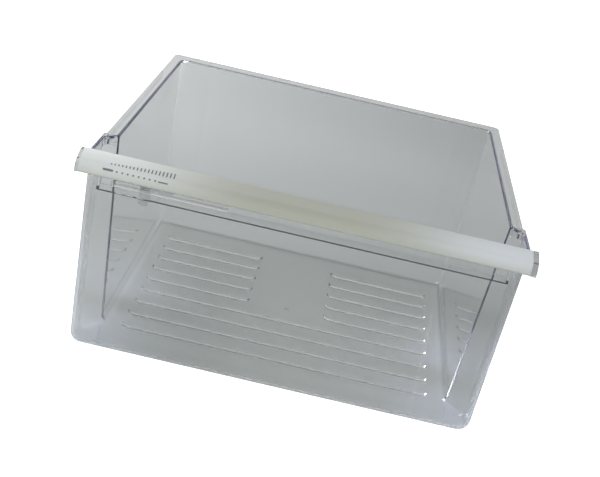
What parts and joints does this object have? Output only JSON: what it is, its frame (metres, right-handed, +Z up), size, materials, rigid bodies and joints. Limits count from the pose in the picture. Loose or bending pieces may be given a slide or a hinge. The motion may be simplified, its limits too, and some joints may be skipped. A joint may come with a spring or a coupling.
{
  "type": "fridge crisper drawer",
  "caption": "Clear fridge crisper drawer with a ribbed floor, flared front corners, hanging side flanges, a white trim on its handle lip and a sliding humidity vent.",
  "frame": {"origin": "under the middle of the drawer, on the plane that its floor stands on", "axes": "+X to the right as seen from the front, the front faces -Y, +Z up"},
  "size_m": [0.389, 0.3866, 0.187],
  "materials": {
    "clear_plastic": "clear, polished",
    "white_trim": "satin white",
    "clear_slide": "clear, polished"
  },
  "bodies": {
    "drawer": {"crisper_pan": "clear_plastic", "handle_trim": "white_trim"},
    "vent_slide": {"humidity_slide": "clear_slide"}
  },
  "joints": [
    {"name": "vent_slide_travel", "type": "slide", "parent": "drawer", "child": "vent_slide", "axis": [1, 0, 0], "range_m": [-0.0232, 0.0093]}
  ]
}
